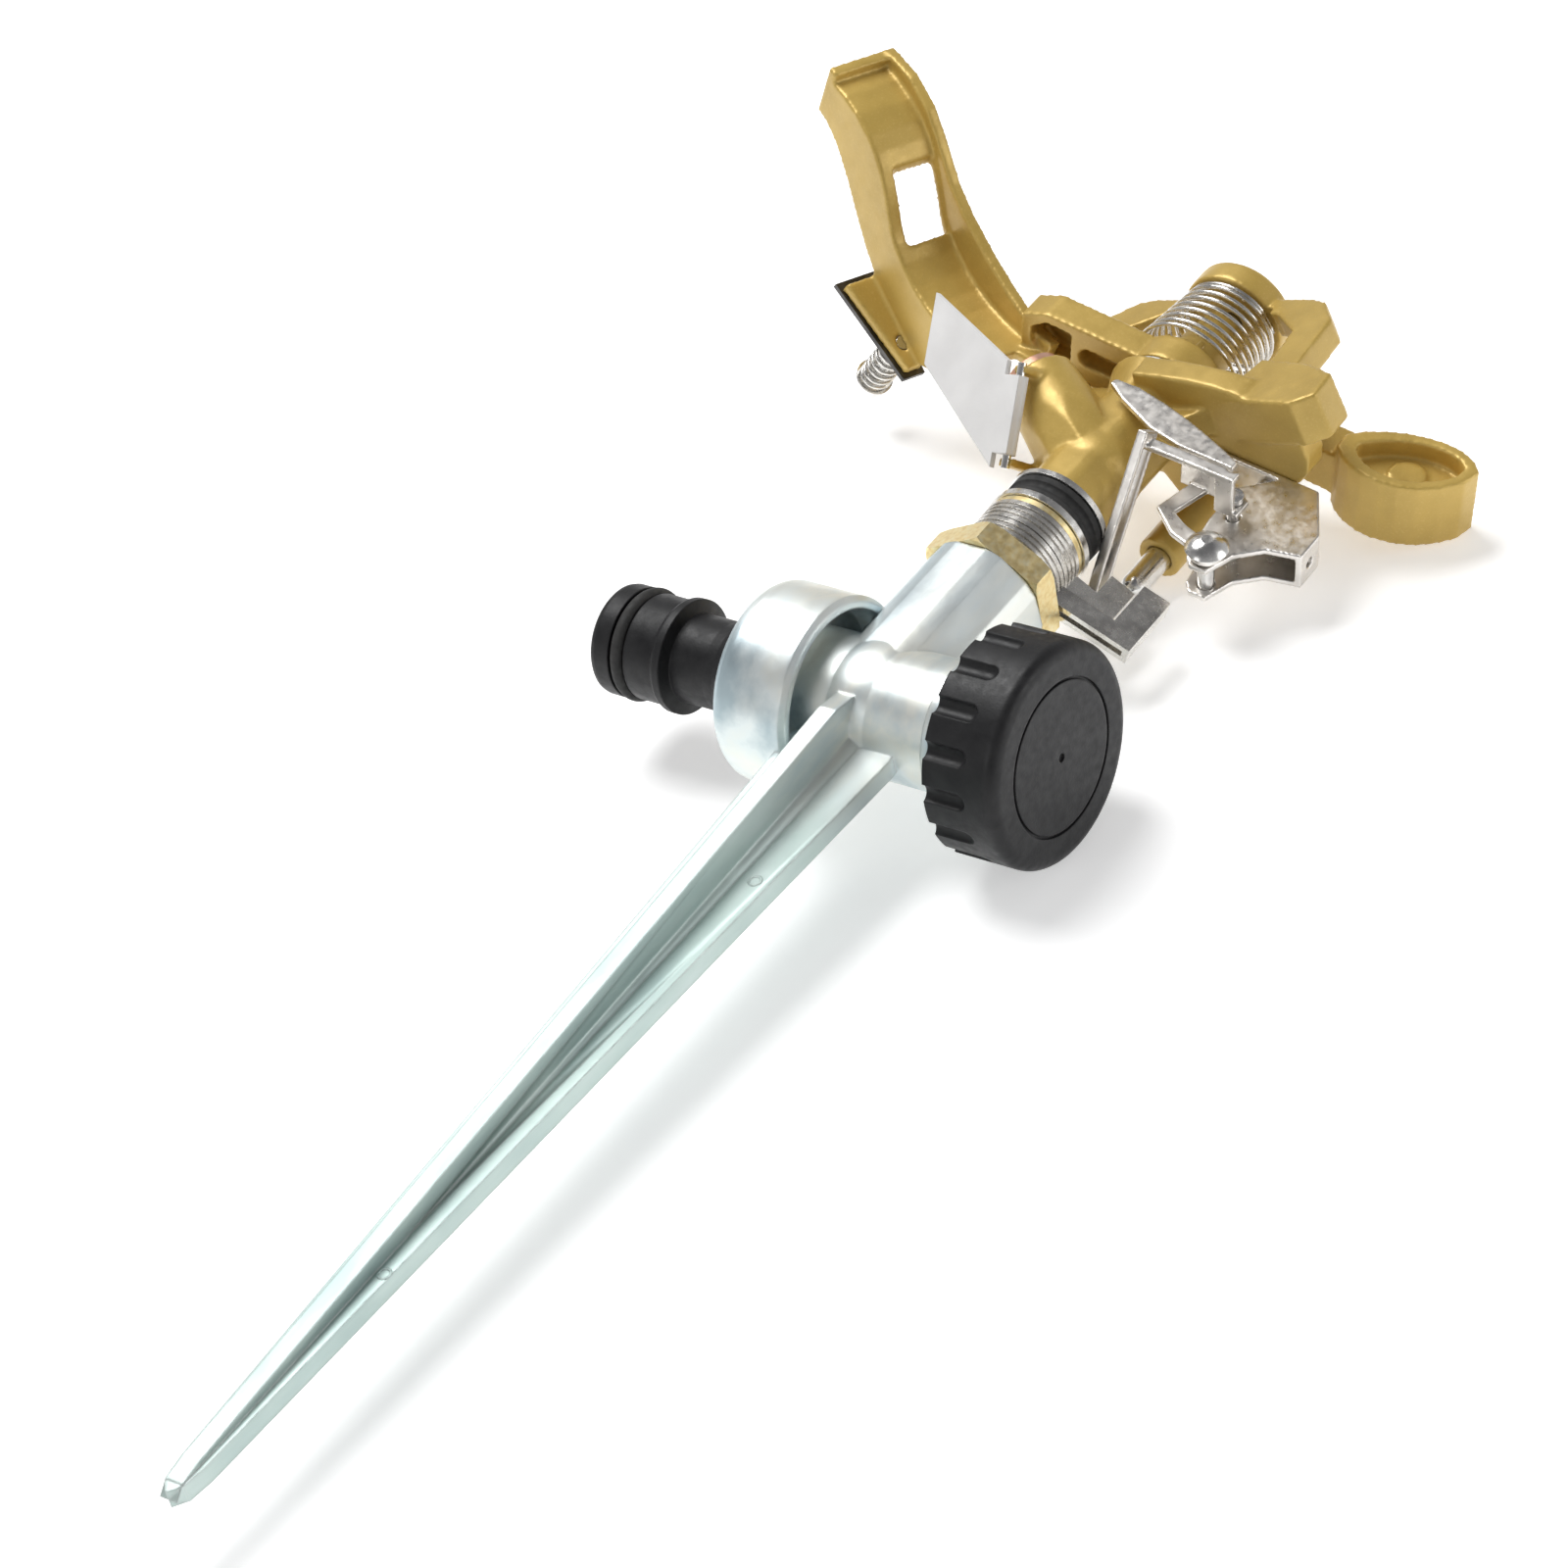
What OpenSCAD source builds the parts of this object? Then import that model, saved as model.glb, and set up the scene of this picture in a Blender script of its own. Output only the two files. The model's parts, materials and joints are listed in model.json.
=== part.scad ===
// Impact sprinkler on a ground spike, with a threaded hose inlet and a capped outlet.
// The origin is on the riser axis at the soil line. +Z runs up the riser and +X from the inlet to the cap.

/* [Spike and tee] */
// Height of the inlet axis above the soil line
inlet_z = 20; // [16:1:26]
// Length of the spike below the inlet axis
spike_length = 169; // [140:1:200]
// Width of the spike across two fins at its top
spike_width = 18; // [14:0.5:20]
// Thickness of one fin
fin_thickness = 3; // [2.4:0.1:4]
// Outside diameter of the riser
riser_d = 19.8; // [19.4:0.1:20.4]
// Height of the riser above the inlet axis
riser_h = 27.4; // [26:0.2:30]
// Outside diameter of the inlet ring
ring_d = 30.8; // [30:0.2:31.6]
// Length of the inlet ring
ring_length = 13.8; // [12:0.2:16]

/* [Hose inlet and cap] */
// Diameter of the locking ridge on the hose nipple
nipple_ridge_d = 17.8; // [17:0.1:18]
// Distance from the riser axis to the free end of the nipple
nipple_reach = 48.6; // [46:0.2:52]
// Bore through the nipple
nipple_bore_d = 10; // [8:0.5:11]
// Outside diameter of the cap
cap_d = 34.4; // [32:0.2:36]
// Depth of the cap
cap_depth = 12.4; // [11:0.2:16]
// Number of grip flutes around the cap
cap_flutes = 16; // [12:1:20]
// Outside diameter of the outlet thread under the cap
outlet_thread_d = 26.4; // [26:0.1:27]

/* [Swivel bearing] */
// Width of the hexagon nut across its flats
hex_flats = 19.8; // [19.4:0.1:21]
// Height of the hexagon nut
hex_h = 4.6; // [4:0.1:5]
// Outside diameter of the swivel stem
stem_d = 9.6; // [9:0.1:10]
// Bore through the swivel stem
stem_bore_d = 6.4; // [5.5:0.1:7]
// Outside diameter of the stop collars
collar_d = 17; // [16:0.1:18]
// Height of one stop collar
collar_h = 4; // [3.6:0.1:4.2]
// Angle of the lower stop collar's ear around the riser
collar_a_angle = 27; // [20:1:34]
// Angle of the upper stop collar's ear around the riser
collar_b_angle = 37; // [36:1:39]

/* [Head] */
// Direction that the nozzle points in, around the riser
nozzle_angle = -152; // [-156:1:-148]
// Rise of the jet above level
jet_rise = 28.5; // [27:0.5:30]
// Outside diameter of the nozzle barrel at its mouth
barrel_d = 11; // [10:0.2:12]
// Direction of the bridge that holds the arm's pin
bridge_angle = -13; // [-16:1:-8]
// Height of the underside of the bridge bar above the inlet axis
bridge_z = 97.2; // [96:0.2:99]
// Diameter of the fulcrum pin
pin_d = 3; // [2.5:0.1:4]

/* [Arm] */
// Height of the underside of the arm above the inlet axis
arm_z = 79; // [78.5:0.1:80]
// Height of the arm's hub
arm_h = 5.4; // [5:0.1:6]
// Width of the spoon
spoon_width = 12; // [11:0.5:13]
// Thickness of the cast walls of the arm
arm_wall = 1.9; // [1.6:0.1:2.4]
// Number of turns in the arm spring
arm_spring_turns = 9; // [7:1:10]
// Outside diameter of the arm spring's lowest turn
arm_spring_d = 19; // [17:0.5:20]
// Wire of the arm spring
arm_spring_wire = 0.9; // [0.8:0.1:1]
// Direction of the counterweight, around the riser
weight_angle = 16; // [12:1:20]

/* [Trip mechanism] */
// Direction of the trip bracket, around the riser
trip_angle = 13; // [11:1:16]
// Thickness of the sheet steel
sheet = 1; // [0.8:0.1:1.2]

/* [Hidden] */
$fn = 48;
eps = 0.01;
fit_gap = 0.05;
free_gap = 0.3;

zinc = "#b9c4c2";
gold = "#b8963c";
steel = "#8f8c88";
sheet_steel = "#b5b2ac";
bright = "silver";
dark = "#3a3a3a";
brass = "#c2a264";
copper = "#c58a6a";
pale = "#d4d4d0";
nylon = "white";
plastic = "#222224";
rubber = "#1a1a1a";

// Heights above the inlet axis of the stack of pieces round the swivel stem
hex_z = riser_h + 0.1;
collar_a_z = hex_z + hex_h + 0.15;
collar_b_z = collar_a_z + collar_h + 0.2;
brass_washer_z = collar_b_z + collar_h + 0.2;
brass_washer_h = 1;
spring_washer_z = brass_washer_z + brass_washer_h + 0.1;
spring_washer_h = 1.2;
sand_seal_z = spring_washer_z + spring_washer_h + 0.1;
sand_seal_h = 4;
steel_washer_z = sand_seal_z + sand_seal_h + 0.1;
steel_washer_h = 1;
neck_z = steel_washer_z + steel_washer_h + 0.1;
ear_top_z = 44.4;
washer_hole_d = stem_d + 2 * fit_gap;

collar_inner_r = stem_d / 2 + 1.4;

// Tee: where the outlet's shoulder and the inlet ring start, and the radii of its neck and waterway
outlet_x = 19;
ring_x = -20.8;
neck_r = 10;
way_r = 6.5;
cap_thread_reach = 9.4;

// Head: heights above the inlet axis and sizes along the jet
jet_z = 58.5;
barrel_end = 19.2;
nozzle_r = 3.8;
platform_z = 77.4;
boss_z = bridge_z + 1.6;
boss_top_z = bridge_z + 6.6;
stop_pin_angle = 57;
stop_pin_r = 16.4;
stop_pin_d = 4.2;

// Arm: the tower that carries the spring, and the bush inside it
tower_h = 12;
bush_r = 2.9;

// Spoon: its curves, in the plane that X runs along the jet in
spoon_rise = 25;
floor_curve = cubic_path([-17, 0.4], [-9, -4.5], [4, -7.5], [12.4, -1.8], 8);
vane_curve = cubic_path([12.4, -1.8], [16.5, 1], [20, 14.5], [38, 10.4], 10);
web_curve = concat(floor_curve, [for (i = [1 : 10]) vane_curve[i]]);
short_curve = [for (p = web_curve) if (p[0] > -14) p];
edge_curve = cubic_path([38.3, 2.4], [30, 2.8], [25, -6], [14.7, -12.2], 8);
rail_curve = [[38, 12.6], [31, 13.8], [25, 12.6], [20.6, 10], [14.5, 5.6], [9.5, 3.6], [2.2, 2], [-5, 1.2],
              [-12, 1], [-17.4, 2.8]];

// Ledge on the spoon's lower wall, and the screw through it
ledge_start = [14.7, -12.2];
ledge_end = [-1.2, -16.6];
ledge_angle = atan2(ledge_end[1] - ledge_start[1], ledge_end[0] - ledge_start[0]);
ledge_length = norm(ledge_end - ledge_start);
ledge_t = 2;
ledge_screw_r = 1.1;
ledge_screw_x = 12;
ledge_screw_w = -0.6;

// Deflector flap: its corners, hinge side between the second and the third, and its lift off the hinge line
flap_corners = [[-33.7, -15.8, 72.3], [-12.1, -13.6, 64.3], [-10.2, -2.4, 52.3], [-31.7, -4.7, 60.3]];
flap_hinge = norm(flap_corners[1] - flap_corners[2]);
flap_lift = 2.4;
flap_pin_r = 0.7;

// Trip mechanism: distances out along the bracket (u), heights (z) and distances across it (v)
rivet_places = [14, 23.5];
rivet_r = 1.3;
trip_pin_u = 24.4;
trip_pin_z = 50.8;
trip_pin_r = 1.3;
tail_pin_u = 23.3;
tail_pin_z = 60.2;
tail_pin_r = 1;
plate_v = -1.6;
far_v = 5;
mid_v = (plate_v + far_v) / 2;
lever_v = -3.2;
finger_v = -9.8;

// Puts a shape that is drawn up the Z axis on the inlet axis, with its base at x
module along_x(x) {
    translate([x, 0, inlet_z]) rotate([0, 90, 0]) children();
}

// Lifts a shape to a height above the inlet axis
module up(z) {
    translate([0, 0, inlet_z + z]) children();
}

// A flat ring
module ring(outer_r, inner_r, h) {
    difference() {
        cylinder(r = outer_r, h = h);
        translate([0, 0, -1]) cylinder(r = inner_r, h = h + 2);
    }
}

// A disc with a rounded top edge
module round_disc(r, h, edge) {
    rotate_extrude() {
        square([r - edge, h]);
        square([r, h - edge]);
        translate([r - edge, h - edge]) circle(r = edge);
    }
}

// A prism through a list of points in a vertical plane that holds the riser axis: [distance out, height]
module upright_plate(points, angle, near, thickness) {
    rotate([0, 0, angle]) translate([0, near + thickness, inlet_z])
        rotate([90, 0, 0]) linear_extrude(thickness) polygon(points);
}

// Point on a cubic curve through p0 and p3, pulled towards p1 and p2
function cubic(p0, p1, p2, p3, t) =
    pow(1 - t, 3) * p0 + 3 * t * pow(1 - t, 2) * p1 + 3 * t * t * (1 - t) * p2 + t * t * t * p3;
function cubic_path(p0, p1, p2, p3, n) = [for (i = [0 : n]) cubic(p0, p1, p2, p3, i / n)];
function reversed(path) = [for (i = [len(path) - 1 : -1 : 0]) path[i]];

// A coil of round wire. Its radius goes from r0 to r1.
module coil(r0, r1, wire, h, turns, sides, steps) {
    count = turns * steps;
    points = [for (i = [0 : count]) let (t = i / count, a = 360 * turns * t, r = r0 + (r1 - r0) * t,
                                         z = wire / 2 + (h - wire) * t)
        for (k = [0 : sides - 1]) let (b = 360 * k / sides, s = r + wire / 2 * cos(b))
            [s * cos(a), s * sin(a), z + wire / 2 * sin(b)]];
    side_faces = [for (i = [0 : count - 1], k = [0 : sides - 1]) let (n = (k + 1) % sides)
        [i * sides + k, i * sides + n, (i + 1) * sides + n, (i + 1) * sides + k]];
    first = [[for (k = [sides - 1 : -1 : 0]) k]];
    last = [[for (k = [0 : sides - 1]) count * sides + k]];
    polyhedron(points, concat(first, side_faces, last));
}

module spike_fin() {
    half = spike_width / 2;
    tip_half = 1.7;
    rotate([90, 0, 0]) translate([0, inlet_z, -fin_thickness / 2]) linear_extrude(fin_thickness)
        polygon([[-half + 2, 0], [-half, -11], [-tip_half - 0.6, 6 - spike_length],
                 [-tip_half, 2 - spike_length], [0, -spike_length], [tip_half, 2 - spike_length],
                 [tip_half + 0.6, 6 - spike_length], [half, -11], [half - 2, 0]]);
}

module spike_casting() {
    color(zinc) difference() {
        union() {
            spike_fin();
            rotate([0, 0, 90]) spike_fin();
            up(4 - spike_length) cylinder(r1 = 1.6, r2 = 3.4, h = spike_length - 6);
            up(0) sphere(r = 10.6);
            intersection() {
                up(0) cylinder(d = riser_d * 1.035, h = riser_h);
                up(0) rotate([0, 0, 22.5]) cylinder(d = riser_d / cos(22.5), h = riser_h, $fn = 8);
            }
            along_x(-12) cylinder(r = neck_r, h = 27);
            along_x(14.5) cylinder(r = 11, h = outlet_x - 14.7);
            along_x(outlet_x - 0.5) cylinder(d = outlet_thread_d, h = cap_thread_reach + 0.5);
            along_x(ring_x) inlet_ring();
        }
        along_x(ring_x - 1) cylinder(r = way_r, h = outlet_x + 40);
        along_x(ring_x - 1) cylinder(r = 11.6, h = 8.1);
        up(0) cylinder(r = way_r, h = riser_h + 1);
        up(riser_h - 18) cylinder(r = 7.7, h = 19);
    }
}

// The cast ring that the nipple screws into, open towards the riser
module inlet_ring() {
    r = ring_d / 2;
    edge = 2.4;
    web_end = ring_length - 5.5;
    rotate_extrude() polygon(concat(
        [[0, 0], [r - edge, 0]],
        [for (a = [-80 : 20 : 0]) [r - edge + edge * cos(a), edge + edge * sin(a)]],
        [[r, ring_length - 0.8], [r - 0.8, ring_length], [r - 1.8, ring_length],
         [r - edge, web_end + 0.5], [neck_r + 1, web_end], [0, web_end]]));
}

module inlet_nipple() {
    start = -nipple_reach;
    color(plastic) along_x(start) difference() {
        rotate_extrude() polygon(concat(
            [[nipple_bore_d / 2, 0], [7.4, 0]],
            [for (a = [-60 : 30 : 0]) [7.4 + 1.2 * cos(a), 1.2 + 1.2 * sin(a)]],
            [[8.6, 3.8], [7.2, 3.8], [7.2, 6.2], [8.2, 6.4], [8.2, 11.6], [nipple_ridge_d / 2 - 0.2, 12],
             [nipple_ridge_d / 2, 12.4], [nipple_ridge_d / 2, 13.6], [6.9, 14.2], [6.9, 20.4]],
            [for (a = [0 : 15 : 75]) [12.8 - 5.9 * cos(a), 20.4 + 7.2 * sin(a)]],
            [[12.8, 27.6], [11.5, 27.6], [11.5, 33.2], [nipple_bore_d / 2, 33.2]]));
    }
}

module nipple_o_ring() {
    color(rubber) along_x(5 - nipple_reach) rotate_extrude() difference() {
        translate([7.75, 0]) circle(r = 1.05);
        square([7.21, 4], center = true);
        translate([0, -2]) square([7.2, 4]);
    }
}

module inlet_gasket() {
    color(rubber) along_x(33.3 - nipple_reach) ring(11.3, way_r - 0.5, 1.6);
}

module cap_flute() {
    length = cap_depth * 0.56;
    translate([cap_d / 2 + 0.5, 0, -1]) cylinder(r = 1.5, h = length);
    translate([cap_d / 2 + 0.5, 0, length - 1]) sphere(r = 1.5);
}

module outlet_cap() {
    color(plastic) along_x(outlet_x + 0.3) difference() {
        round_disc(cap_d / 2, cap_depth, 2);
        translate([0, 0, -1]) cylinder(d = outlet_thread_d + 2 * fit_gap, h = cap_depth - 1.2);
        for (i = [0 : cap_flutes - 1]) rotate([0, 0, (i + 0.5) * 360 / cap_flutes]) cap_flute();
        translate([0, 0, cap_depth - 0.5]) ring(12.1, 11.6, 1);
        translate([0, 0, cap_depth - 0.4]) cylinder(r = 0.7, h = 1);
    }
}

module cap_gasket() {
    color(rubber) along_x(outlet_x + cap_thread_reach + 0.1) ring(13.1, way_r - 0.5, 0.9);
}

// The nut that screws into the riser, with the neck that the stop collars turn on
module hex_nut() {
    r = hex_flats / 2 / cos(30);
    color(brass) difference() {
        union() {
            intersection() {
                up(hex_z) rotate([0, 0, 35]) cylinder(r = r, h = hex_h, $fn = 6);
                up(hex_z) rotate_extrude() polygon([[0, 0], [r - 0.5, 0], [r, 0.4], [r, hex_h - 0.5],
                                                    [r - 0.9, hex_h], [0, hex_h]]);
            }
            up(hex_z - 11) cylinder(r = 7.65, h = 12);
            up(hex_z) cylinder(r = collar_inner_r - free_gap, h = brass_washer_z - hex_z - 0.1);
        }
        up(hex_z - 12) cylinder(r = stem_d / 2 + fit_gap, h = 40);
    }
}

// The tube that the head turns on, with a rim at its foot that keeps it in the riser
module swivel_stem() {
    foot_z = hex_z - 16.9;
    color(brass) difference() {
        union() {
            up(foot_z) cylinder(d = stem_d + 2.8, h = 1.6);
            up(foot_z) cylinder(d = stem_d, h = neck_z + 5.9 - foot_z);
        }
        up(foot_z - 1) cylinder(d = stem_bore_d, h = 90);
    }
}

module stem_seal() {
    color(rubber) up(hex_z - 15.2) ring(7.3, stem_d / 2 + fit_gap, 2.2);
}

module stem_washer() {
    color(nylon) up(hex_z - 12.9) ring(7.3, stem_d / 2 + fit_gap, 1.7);
}

// A sprung steel band round the nut's neck whose two ends fold out into a grip ear
module stop_collar(z, ear_angle, arm_length, tab_length, tab_h) {
    strip_h = collar_h - 0.6;
    color(steel) up(z) rotate([0, 0, ear_angle]) {
        difference() {
            ring(collar_d / 2, collar_inner_r, collar_h);
            for (groove_z = [0.8, 1.8, 2.8]) rotate([0, 0, 90]) translate([0, 0, groove_z])
                ring(collar_d, collar_d / 2 - 0.3, 0.4);
            translate([collar_inner_r - 1, -0.35, -1]) cube([8, 0.7, collar_h + 2]);
        }
        for (side = [-1, 1]) translate([collar_d / 2 - 1, side * 1.05 - 0.5, 0.3])
            cube([arm_length, 1, strip_h]);
        translate([collar_d / 2 + arm_length - tab_length, -1.55, 0.3]) cube([tab_length, 1, tab_h]);
        translate([collar_d / 2 + arm_length - 1, -1.55, 0.3]) cube([1, 3.1, tab_h]);
    }
}

module stop_collar_a() {
    stop_collar(collar_a_z, collar_a_angle, 14, 4.8, ear_top_z - collar_a_z - 0.3);
}

module stop_collar_b() {
    stop_collar(collar_b_z, collar_b_angle, 8.2, 4.4, ear_top_z - collar_b_z - 0.3);
}

module brass_washer() {
    color(brass) up(brass_washer_z) ring(8.3, washer_hole_d / 2, brass_washer_h);
}

module spring_washer() {
    color(bright) up(spring_washer_z) ring(8.7, washer_hole_d / 2, spring_washer_h);
}

module sand_seal() {
    color(rubber) up(sand_seal_z) rotate_extrude() difference() {
        translate([washer_hole_d / 2 + 1.6, 0]) square([8.2 - washer_hole_d / 2 - 1.6, sand_seal_h]);
        translate([8.5, sand_seal_h / 2]) circle(r = 0.9);
    }
}

module stem_spring() {
    r = stem_d / 2 + 0.75;
    color(steel) up(sand_seal_z + 0.05) coil(r, r, 0.7, sand_seal_h - 0.1, 3, 6, 16);
}

module steel_washer() {
    color(bright) up(steel_washer_z) ring(8.6, washer_hole_d / 2, steel_washer_h);
}

// Puts a shape that is drawn up the Z axis on the line of the jet, with its base at a distance along it
module along_jet(distance) {
    up(jet_z) rotate([0, 90 - jet_rise, nozzle_angle]) translate([0, 0, distance]) children();
}

// The closed frame that stands over the arm and holds the top of its pin
module bridge() {
    half_top = 22.6;
    half_low = 23.6;
    frame = [[half_low - 1, 77], [half_low, 84], [half_top, bridge_z - 1.5], [half_top - 4, bridge_z + 3],
             [half_top - 7, bridge_z + 4], [7 - half_top, bridge_z + 4], [4 - half_top, bridge_z + 3],
             [-half_top, bridge_z - 1.5], [-half_low, 84], [-22.5, 77], [-14, 70], [-7, 66], [7, 66],
             [14, 71.8]];
    window = [[-11, bridge_z], [-17, bridge_z - 4.6], [-17.8, 84], [-17.2, 79], [-15, platform_z],
              [15, platform_z], [17.2, 79], [17.8, 84], [17, bridge_z - 4.6], [11, bridge_z]];
    difference() {
        upright_plate(frame, bridge_angle, -2.8, 4.6);
        upright_plate(window, bridge_angle, -5, 12);
    }
    upright_plate([[16, 72], [31, 71], [34.5, 73.5], [34, 79], [28, 81.5], [18.6, 82.5], [17.4, 78]],
                  bridge_angle, -4.6, 8);
}

// The flat shelf on the tail side that the trip bracket hangs from
module deck() {
    outline = concat(cubic_path([0, -9.4], [14, -11.6], [27, -11], [29.6, -2], 8),
                     cubic_path([30, 0], [30, 8], [16, 10], [0, 9.4], 8));
    up(72) linear_extrude(4.6) polygon(outline);
}

module head_casting() {
    color(gold) difference() {
        union() {
            intersection() {
                up(neck_z) rotate([0, 0, 22.5]) cylinder(r = 7.5, h = platform_z - neck_z - 1, $fn = 8);
                up(neck_z) cylinder(r = 7.2, h = platform_z - neck_z - 1);
            }
            up(jet_z) sphere(r = 7.4);
            up(platform_z - 5) cylinder(r1 = 7, r2 = 9, h = 5);
            intersection() {
                along_jet(0) cylinder(r1 = 7.6, r2 = barrel_d / 2 + 0.3, h = barrel_end);
                along_jet(0) rotate([0, 0, 22.5]) cylinder(r = 7, h = barrel_end, $fn = 8);
            }
            bridge();
            up(boss_z) cylinder(r = 8.6, h = boss_top_z - boss_z - 0.8);
            up(boss_z) cylinder(r = 7.8, h = boss_top_z - boss_z);
            deck();
            flap_ears();
            rotate([0, 0, stop_pin_angle]) {
                translate([stop_pin_r, 0, inlet_z + 58]) cylinder(r = 3.6, h = 17.4);
                translate([5, -2.6, inlet_z + 71.2]) cube([stop_pin_r - 5, 5.2, 4]);
            }
        }
        up(neck_z - 1) cylinder(r = stem_d / 2 + fit_gap, h = 7);
        up(neck_z) cylinder(d = stem_bore_d, h = jet_z - neck_z);
        up(jet_z) sphere(d = stem_bore_d);
        along_jet(0) cylinder(d = stem_bore_d - 0.4, h = barrel_end + 1);
        along_jet(barrel_end - 9) cylinder(r = nozzle_r + fit_gap, h = 12);
        up(jet_z + 8) cylinder(r = pin_d / 2 + fit_gap, h = 60);
        up(bridge_z - 3) cylinder(r = arm_spring_d / 2 + free_gap, h = boss_z - bridge_z + 3);
        rotate([0, 0, stop_pin_angle]) translate([stop_pin_r, 0, inlet_z + 50])
            cylinder(d = stop_pin_d + 2 * fit_gap, h = 18);
        flap_pin_hole();
        bracket_rivet_holes();
    }
}

module nozzle_insert() {
    color(copper) along_jet(barrel_end - 7.8) difference() {
        union() {
            cylinder(r = nozzle_r, h = 9);
            translate([0, 0, 7.85]) cylinder(r1 = 4.9, r2 = 4.3, h = 1.6);
        }
        translate([0, 0, -1]) cylinder(r1 = 3, r2 = 1.9, h = 9);
        translate([0, 0, 7]) cylinder(r = 1.9, h = 4);
    }
}

module nozzle_gasket() {
    color(rubber) along_jet(barrel_end - 8.9) ring(nozzle_r, 3, 1);
}

module fulcrum_pin() {
    color(steel) up(jet_z + 8.1) cylinder(d = pin_d, h = boss_top_z - jet_z - 8.1);
}

module thrust_washer() {
    color(nylon) up(platform_z + 0.1) ring(7.6, pin_d / 2 + fit_gap, arm_z - platform_z - 0.3);
}

module pin_cap() {
    disc_h = 0.7;
    color(dark) up(boss_top_z + fit_gap) {
        cylinder(r = 4.2, h = disc_h);
        translate([0, 0, disc_h - eps]) cylinder(r1 = 4.2, r2 = 3.2, h = 0.8);
    }
}

// Puts the pieces of the spoon in place. X runs along the jet, Y to the side and Z across its width.
module at_spoon() {
    up(76.6) translate([-38.8, -12.3, 0]) rotate([0, -spoon_rise, nozzle_angle]) children();
}

// A curve moved to its inner side by the thickness of a wall
function inner_side(path) = reversed([for (p = path) p - [0, arm_wall + 0.2]]);

// The curved vane that the jet strikes, with its two side walls
module spoon() {
    at_spoon() {
        linear_extrude(arm_wall)
            polygon(concat(short_curve, edge_curve, [ledge_end, [-4.7, -14.2], [-12, -4.4]]));
        translate([0, 0, spoon_width - arm_wall]) linear_extrude(arm_wall)
            polygon(concat(inner_side(web_curve), reversed(rail_curve)));
        difference() {
            union() {
                linear_extrude(spoon_width) polygon(concat(short_curve, inner_side(short_curve)));
                translate([0, 0, spoon_width - 5]) linear_extrude(5)
                    polygon(concat(web_curve, inner_side(web_curve)));
            }
            translate([15.9, 4, spoon_width / 2]) cube([8.6, 30, spoon_width - 4.6], center = true);
        }
        translate([36.4, 2.4, 0]) cube([1.9, 10, spoon_width]);
        ledge();
    }
}

// The shelf along the lower wall that carries the small sprung plate
module ledge() {
    translate([ledge_start[0], ledge_start[1], 0]) rotate([0, 0, ledge_angle]) difference() {
        translate([0, ledge_t, 0]) rotate([90, 0, 0]) linear_extrude(ledge_t)
            polygon([[0, 1], [0, -5.2], [ledge_length, -2], [ledge_length, 1]]);
        translate([ledge_screw_x, 3, ledge_screw_w]) rotate([90, 0, 0])
            cylinder(r = ledge_screw_r + free_gap, h = 2.9);
    }
}

// The part of the arm that stays level: hub, inner bar and tail
module arm_bar() {
    rotate([0, 0, -165]) up(arm_z) difference() {
        linear_extrude(arm_h) polygon([[0, -5.5], [22, -5.5], [26.5, -3], [26.5, 3.4], [22, 5.5], [0, 5.5]]);
        translate([0, 0, -1]) linear_extrude(arm_h)
            polygon([[17.5, -3.6], [22, -3.6], [24.6, -1.4], [24.6, 1.6], [22, 3.6], [17.5, 3.6]]);
        hull() {
            translate([9.5, 0, -1]) cylinder(r = 1.8, h = arm_h - 1);
            translate([14, 0, -1]) cylinder(r = 1.8, h = arm_h - 1);
        }
    }
}

module counterweight() {
    leaf_near = -6.2;
    leaf = concat(cubic_path([29.6, 79.4], [33, 74.6], [44, 74], [49.6, 83.4], 8),
                  cubic_path([50.4, 86.6], [47, 92], [35, 88.6], [29.6, 82.4], 8));
    recess = concat(cubic_path([32.4, 80.4], [35, 77], [43, 76.6], [47.8, 83.8], 8),
                    cubic_path([48.2, 86.2], [45, 89.2], [37, 87], [32.4, 81.6], 8));
    difference() {
        union() {
            upright_plate(leaf, weight_angle, leaf_near, 12.4);
            upright_plate([[0, arm_z], [30, arm_z], [30, arm_z + 6.4], [16, arm_z + arm_h], [0, arm_z + arm_h]],
                          weight_angle, -4, 8);
        }
        upright_plate(recess, weight_angle, leaf_near - 1, 4.4);
    }
    upright_plate([for (a = [0 : 20 : 340]) [40.6 + 3 * cos(a), 82.4 + 3 * sin(a)]], weight_angle,
                  leaf_near + 2.8, 2);
}

module impact_arm() {
    tower_z = arm_z + arm_h;
    color(gold) difference() {
        union() {
            up(arm_z) cylinder(r = 7.8, h = arm_h);
            up(tower_z - 1) cylinder(r1 = 5, r2 = 3.8, h = tower_h + 1);
            for (a = [0 : 60 : 300]) rotate([0, 0, a]) up(tower_z - 0.5)
                translate([0, -0.6, 0]) cube([6.6, 1.2, 3]);
            arm_bar();
            counterweight();
            spoon();
        }
        up(arm_z - 1) cylinder(r = bush_r + fit_gap, h = 30);
    }
}

module arm_bush() {
    color(nylon) up(arm_z) ring(bush_r, pin_d / 2 + fit_gap, arm_h + tower_h);
}

module arm_spring() {
    z = arm_z + arm_h;
    color(steel) up(z + 0.1) coil(arm_spring_d / 2 - arm_spring_wire / 2, arm_spring_d / 2 - 2, arm_spring_wire,
                                  boss_z - z - 0.2, arm_spring_turns, 6, 24);
}

module at_ledge_screw() {
    at_spoon() translate([ledge_start[0], ledge_start[1], 0]) rotate([0, 0, ledge_angle])
        translate([ledge_screw_x, 0, ledge_screw_w]) rotate([-90, 0, 0]) children();
}

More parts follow.
